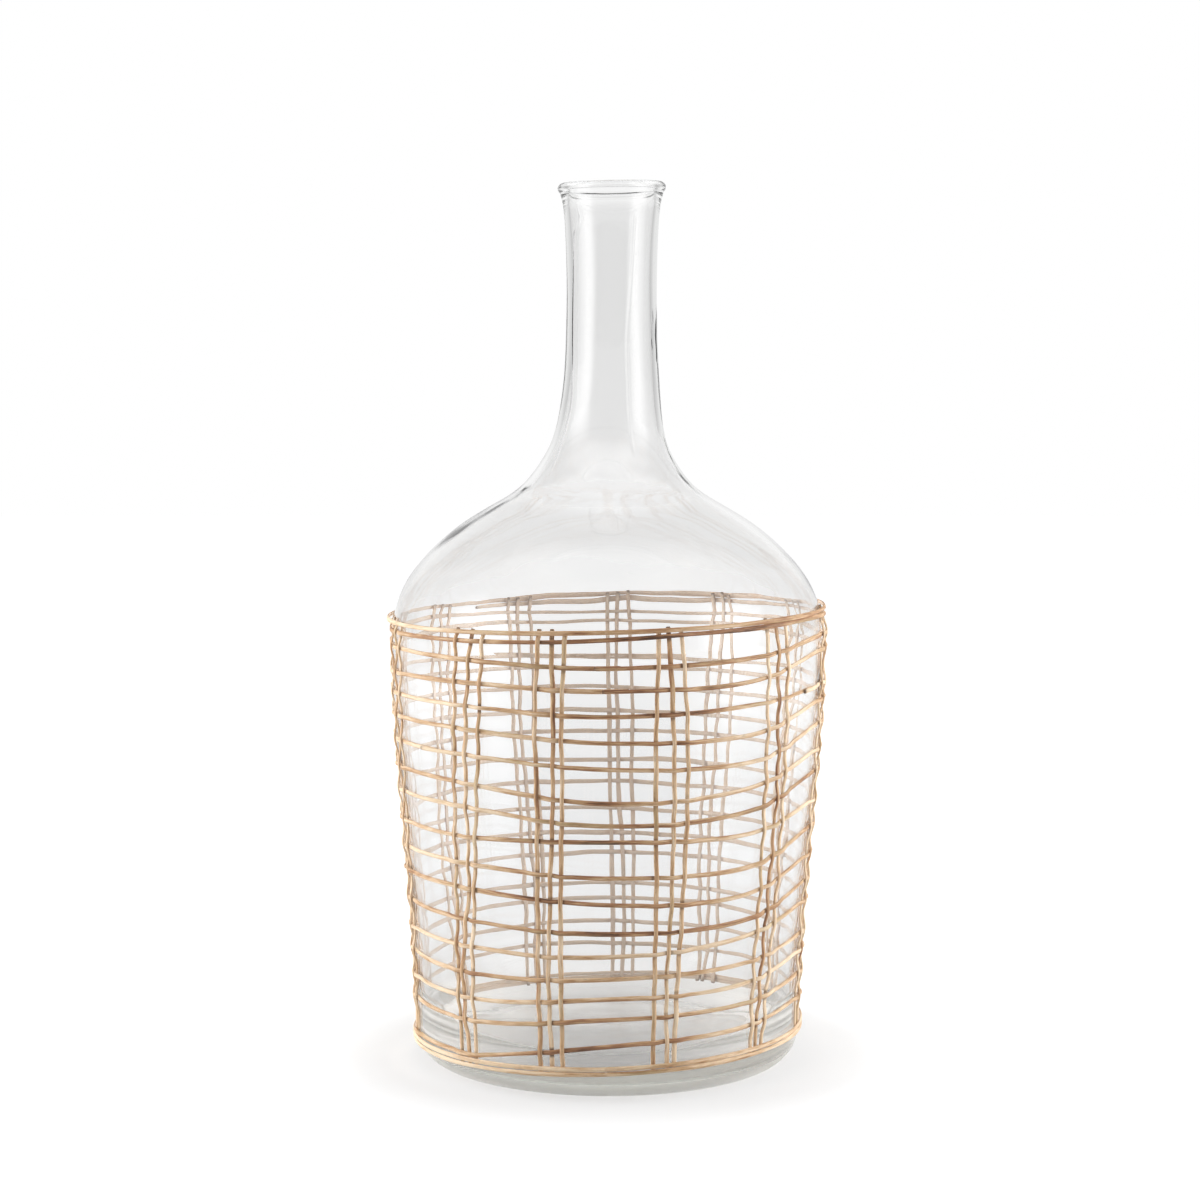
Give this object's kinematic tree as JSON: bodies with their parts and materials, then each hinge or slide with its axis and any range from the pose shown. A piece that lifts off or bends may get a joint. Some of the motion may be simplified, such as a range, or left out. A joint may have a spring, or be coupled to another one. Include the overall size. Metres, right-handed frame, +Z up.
{
  "type": "wicker_wrapped_bottle",
  "caption": "Tall clear glass bottle with a long neck and rolled lip, its body in an open rattan jacket of upright stakes and a spiral weaver",
  "frame": {"origin": "middle of the base, on the surface it stands on", "axes": "+Z up along the bottle's axis, -Y towards the front of the picture, +X to its right"},
  "size_m": [0.2534, 0.254, 0.5],
  "materials": {
    "glass": "clear, smooth, slightly wavy",
    "rattan_honey": "split rattan cane, unvarnished, satin",
    "rattan_pale": "split rattan cane, unvarnished, satin",
    "rattan_brown": "split rattan cane, unvarnished, satin",
    "rattan_tan": "split rattan cane, unvarnished, satin",
    "rattan_cream": "split rattan cane, unvarnished, satin"
  },
  "bodies": {
    "root": {"glass_bottle": "glass", "stake_01_left": "rattan_honey", "stake_01_middle": "rattan_pale", "stake_01_right": "rattan_brown", "stake_02_left": "rattan_tan", "stake_02_middle": "rattan_cream", "stake_02_right": "rattan_honey", "stake_03_left": "rattan_pale", "stake_03_middle": "rattan_brown", "stake_03_right": "rattan_tan", "stake_04_left": "rattan_cream", "stake_04_middle": "rattan_honey", "stake_04_right": "rattan_pale", "stake_05_left": "rattan_brown", "stake_05_middle": "rattan_tan", "stake_05_right": "rattan_cream", "stake_06_left": "rattan_honey", "stake_06_middle": "rattan_pale", "stake_06_right": "rattan_brown", "stake_07_left": "rattan_tan", "stake_07_middle": "rattan_cream", "stake_07_right": "rattan_honey", "stake_08_left": "rattan_pale", "stake_08_middle": "rattan_brown", "stake_08_right": "rattan_tan", "stake_09_left": "rattan_cream", "stake_09_middle": "rattan_honey", "stake_09_right": "rattan_pale", "stake_10_left": "rattan_brown", "stake_10_middle": "rattan_tan", "stake_10_right": "rattan_cream", "stake_11_left": "rattan_honey", "stake_11_middle": "rattan_pale", "stake_11_right": "rattan_brown", "stake_12_left": "rattan_tan", "stake_12_middle": "rattan_cream", "stake_12_right": "rattan_honey", "weaver_1": "rattan_pale", "weaver_2": "rattan_brown", "weaver_3": "rattan_tan", "weaver_4": "rattan_cream", "weaver_5": "rattan_honey", "weaver_6": "rattan_pale", "weaver_7": "rattan_brown", "weaver_8": "rattan_tan", "top_border": "rattan_honey", "bottom_border_lower": "rattan_tan", "bottom_border_upper": "rattan_pale"}
  },
  "joints": []
}
